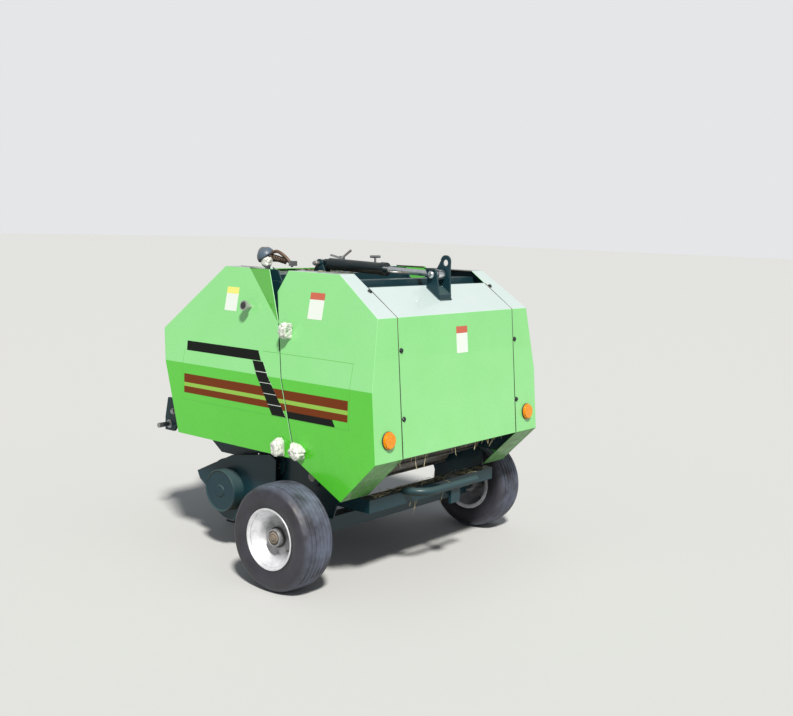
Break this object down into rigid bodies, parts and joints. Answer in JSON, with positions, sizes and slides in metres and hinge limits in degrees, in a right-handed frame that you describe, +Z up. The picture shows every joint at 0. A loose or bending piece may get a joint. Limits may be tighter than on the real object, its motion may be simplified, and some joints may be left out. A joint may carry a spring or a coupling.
{
  "type": "mini round baler",
  "caption": "Small green roller-chamber round baler with a lift-up rear gate, hydraulic cylinder, pickup reel, three-point hitch and two ground wheels.",
  "frame": {"origin": "on the ground under the middle of the whole machine", "axes": "+X forward in travel, +Y the machine's left, +Z up"},
  "size_m": [1.4512, 1.412, 1.261],
  "materials": {
    "green_paint": "gloss",
    "teal_paint": "semi-gloss",
    "tyre_rubber": "matt",
    "rim_paint": "satin",
    "roller_steel": "worn",
    "bare_steel": "satin",
    "chrome": "polished",
    "black_paint": "gloss",
    "amber_plastic": "gloss",
    "latch_film": "satin"
  },
  "bodies": {
    "chassis": {"side_plate_left": "teal_paint", "side_plate_right": "teal_paint", "hitch_frame": "teal_paint", "hitch_mast": "teal_paint", "lower_pins": "bare_steel", "top_deck": "teal_paint", "cylinder_bracket": "teal_paint", "twine_box": "teal_paint", "front_panel": "green_paint", "lid_hinges": "teal_paint", "gearbox": "teal_paint", "drive_tubes": "teal_paint", "pto_guard": "black_paint", "leg_sleeves": "teal_paint", "front_cover_left": "green_paint", "front_cover_right": "green_paint", "front_latches": "latch_film", "axle_beam": "teal_paint", "rear_beam": "teal_paint", "rear_hoop": "teal_paint", "pickup_frame": "teal_paint", "pickup_bands": "teal_paint", "pickup_caps": "teal_paint", "twine_guide": "bare_steel", "deck_levers": "bare_steel"},
    "gate": {"gate_plate_left": "teal_paint", "gate_plate_right": "teal_paint", "gate_tubes": "teal_paint", "gate_panel": "green_paint", "rear_cover_left": "green_paint", "rear_cover_right": "green_paint", "gate_latches": "latch_film", "reflectors": "amber_plastic", "gate_ears": "teal_paint"},
    "wheel_left": {"tyre_left": "tyre_rubber", "rim_left": "rim_paint"},
    "wheel_right": {"tyre_right": "tyre_rubber", "rim_right": "rim_paint"},
    "pickup_reel": {"pickup_reel": "bare_steel"},
    "input_shaft": {"input_shaft": "bare_steel"},
    "twine_lid": {"twine_lid": "green_paint"},
    "leg_left": {"leg_left": "teal_paint"},
    "leg_right": {"leg_right": "teal_paint"},
    "barrel": {"cylinder_barrel": "black_paint"},
    "rod": {"cylinder_rod": "chrome"},
    "roller_1": {"roller_1": "roller_steel"},
    "roller_2": {"roller_2": "roller_steel"},
    "roller_3": {"roller_3": "roller_steel"},
    "roller_4": {"roller_4": "roller_steel"},
    "roller_5": {"roller_5": "roller_steel"},
    "roller_6": {"roller_6": "roller_steel"},
    "roller_7": {"roller_7": "roller_steel"},
    "roller_8": {"roller_8": "roller_steel"},
    "roller_9": {"roller_9": "roller_steel"},
    "roller_10": {"roller_10": "roller_steel"}
  },
  "joints": [
    {"name": "gate_lift", "type": "hinge", "parent": "chassis", "child": "gate", "pos_m": [-0.14537, 0, 1.094], "axis": [0, 1, 0], "range_deg": [0, 60]},
    {"name": "cylinder_swing", "type": "hinge", "parent": "chassis", "child": "barrel", "pos_m": [0.06163, 0, 1.194], "axis": [0, 1, 0], "range_deg": [0, 42.97]},
    {"name": "rod_slide", "type": "slide", "parent": "barrel", "child": "rod", "axis": [0.9997, 0, 0.0257], "range_m": [0, 0.16678]},
    {"name": "wheel_left_spin", "type": "hinge", "parent": "chassis", "child": "wheel_left", "pos_m": [-0.34937, 0.624, 0.203], "axis": [0, 1, 0], "continuous": true},
    {"name": "wheel_right_spin", "type": "hinge", "parent": "chassis", "child": "wheel_right", "pos_m": [-0.34937, -0.624, 0.203], "axis": [0, 1, 0], "continuous": true},
    {"name": "leg_left_slide", "type": "slide", "parent": "chassis", "child": "leg_left", "axis": [0, 0, 1], "range_m": [0, 0.2]},
    {"name": "leg_right_slide", "type": "slide", "parent": "chassis", "child": "leg_right", "axis": [0, 0, 1], "range_m": [0, 0.2]},
    {"name": "twine_lid_lift", "type": "hinge", "parent": "chassis", "child": "twine_lid", "pos_m": [0.17063, 0, 1.165], "axis": [0, -1, 0], "range_deg": [0, 90]},
    {"name": "input_shaft_spin", "type": "hinge", "parent": "chassis", "child": "input_shaft", "pos_m": [0.50063, 0, 0.625], "axis": [1, 0, 0], "continuous": true},
    {"name": "pickup_reel_spin", "type": "hinge", "parent": "chassis", "child": "pickup_reel", "pos_m": [0.14663, 0, 0.26], "axis": [0, 1, 0], "continuous": true},
    {"name": "roller_1_spin", "type": "hinge", "parent": "chassis", "child": "roller_1", "pos_m": [0.11967, 0, 0.6943], "axis": [0, 1, 0], "continuous": true},
    {"name": "roller_2_spin", "type": "hinge", "parent": "chassis", "child": "roller_2", "pos_m": [0.07895, 0, 0.88438], "axis": [0, 1, 0], "continuous": true},
    {"name": "roller_3_spin", "type": "hinge", "parent": "chassis", "child": "roller_3", "pos_m": [-0.05807, 0, 1.02227], "axis": [0, 1, 0], "continuous": true},
    {"name": "roller_4_spin", "type": "hinge", "parent": "gate", "child": "roller_4", "pos_m": [-0.24789, 0, 1.0642], "axis": [0, 1, 0], "continuous": true},
    {"name": "roller_5_spin", "type": "hinge", "parent": "gate", "child": "roller_5", "pos_m": [-0.43025, 0, 0.99684], "axis": [0, 1, 0], "continuous": true},
    {"name": "roller_6_spin", "type": "hinge", "parent": "gate", "child": "roller_6", "pos_m": [-0.54724, 0, 0.84159], "axis": [0, 1, 0], "continuous": true},
    {"name": "roller_7_spin", "type": "hinge", "parent": "gate", "child": "roller_7", "pos_m": [-0.56172, 0, 0.64773], "axis": [0, 1, 0], "continuous": true},
    {"name": "roller_8_spin", "type": "hinge", "parent": "gate", "child": "roller_8", "pos_m": [-0.4691, 0, 0.47682], "axis": [0, 1, 0], "continuous": true},
    {"name": "roller_9_spin", "type": "hinge", "parent": "chassis", "child": "roller_9", "pos_m": [-0.29878, 0, 0.38312], "axis": [0, 1, 0], "continuous": true},
    {"name": "roller_10_spin", "type": "hinge", "parent": "chassis", "child": "roller_10", "pos_m": [-0.10483, 0, 0.39637], "axis": [0, 1, 0], "continuous": true}
  ],
  "couplings": [
    {"joint": "cylinder_swing", "follows": "gate_lift", "ratio": 0.71535},
    {"joint": "rod_slide", "follows": "gate_lift", "m_per_rad": 0.15908},
    {"joint": "pickup_reel_spin", "follows": "input_shaft_spin", "ratio": -0.25},
    {"joint": "roller_1_spin", "follows": "input_shaft_spin", "ratio": 0.4},
    {"joint": "roller_2_spin", "follows": "input_shaft_spin", "ratio": 0.4},
    {"joint": "roller_3_spin", "follows": "input_shaft_spin", "ratio": 0.4},
    {"joint": "roller_4_spin", "follows": "input_shaft_spin", "ratio": 0.4},
    {"joint": "roller_5_spin", "follows": "input_shaft_spin", "ratio": 0.4},
    {"joint": "roller_6_spin", "follows": "input_shaft_spin", "ratio": 0.4},
    {"joint": "roller_7_spin", "follows": "input_shaft_spin", "ratio": 0.4},
    {"joint": "roller_8_spin", "follows": "input_shaft_spin", "ratio": 0.4},
    {"joint": "roller_9_spin", "follows": "input_shaft_spin", "ratio": 0.4},
    {"joint": "roller_10_spin", "follows": "input_shaft_spin", "ratio": 0.4}
  ]
}
